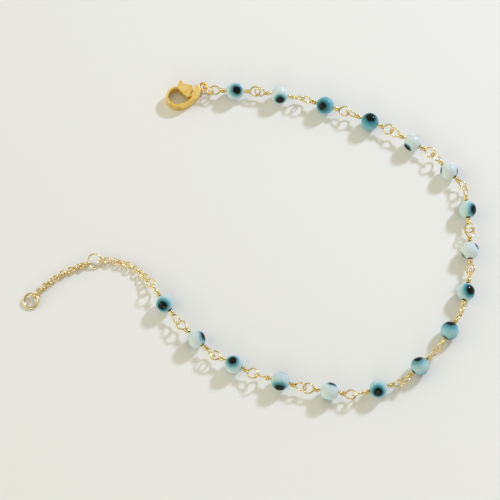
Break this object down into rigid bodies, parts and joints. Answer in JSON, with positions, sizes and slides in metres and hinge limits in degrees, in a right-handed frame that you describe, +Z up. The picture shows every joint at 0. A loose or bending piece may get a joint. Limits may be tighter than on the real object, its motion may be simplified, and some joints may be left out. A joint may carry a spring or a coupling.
{
  "type": "evil eye bead bracelet with lobster clasp and chain extender",
  "caption": "Open bracelet of round evil eye glass beads on looped gold wire links, with a lobster clasp at one end and a chain extender with rings at the other.",
  "frame": {"origin": "on the surface that the bracelet lies on, under the middle of its bounding box", "axes": "+Z up from the surface; +Y towards the clasp end; +X towards the outside of the curve, away from both free ends"},
  "size_m": [0.1006, 0.0784, 0.004],
  "materials": {
    "bead_glass": "glossy milky pale blue glass with a turquoise eye and a black pupil on two opposite sides",
    "link_wire_gold": "polished gold-coloured wire",
    "clasp_gold": "polished gold-coloured casting",
    "ring_gold": "polished gold-coloured round wire",
    "chain_gold": "polished gold-coloured fine chain"
  },
  "bodies": {
    "bracelet": {"bead_01": "bead_glass", "bead_02": "bead_glass", "bead_03": "bead_glass", "bead_04": "bead_glass", "bead_05": "bead_glass", "bead_06": "bead_glass", "bead_07": "bead_glass", "bead_08": "bead_glass", "bead_09": "bead_glass", "bead_10": "bead_glass", "bead_11": "bead_glass", "bead_12": "bead_glass", "bead_13": "bead_glass", "bead_14": "bead_glass", "bead_15": "bead_glass", "bead_16": "bead_glass", "bead_17": "bead_glass", "link_wire_01": "link_wire_gold", "link_wire_02": "link_wire_gold", "link_wire_03": "link_wire_gold", "link_wire_04": "link_wire_gold", "link_wire_05": "link_wire_gold", "link_wire_06": "link_wire_gold", "link_wire_07": "link_wire_gold", "link_wire_08": "link_wire_gold", "link_wire_09": "link_wire_gold", "link_wire_10": "link_wire_gold", "link_wire_11": "link_wire_gold", "link_wire_12": "link_wire_gold", "link_wire_13": "link_wire_gold", "link_wire_14": "link_wire_gold", "link_wire_15": "link_wire_gold", "link_wire_16": "link_wire_gold", "link_wire_17": "link_wire_gold", "clasp_body": "clasp_gold", "clasp_jump_ring": "ring_gold", "extender_jump_ring": "ring_gold", "extender_middle_ring": "ring_gold", "extender_end_ring": "ring_gold", "extender_chain_inner": "chain_gold", "extender_chain_outer": "chain_gold"},
    "lever": {"clasp_lever": "clasp_gold"}
  },
  "joints": [
    {"name": "clasp_lever_hinge", "type": "hinge", "parent": "bracelet", "child": "lever", "pos_m": [-0.01289, 0.0356, 0.00105], "axis": [0, 0, 1], "range_deg": [0, 13], "stiffness_Nm_per_rad": 0.0005, "springref_deg": -17.19}
  ]
}
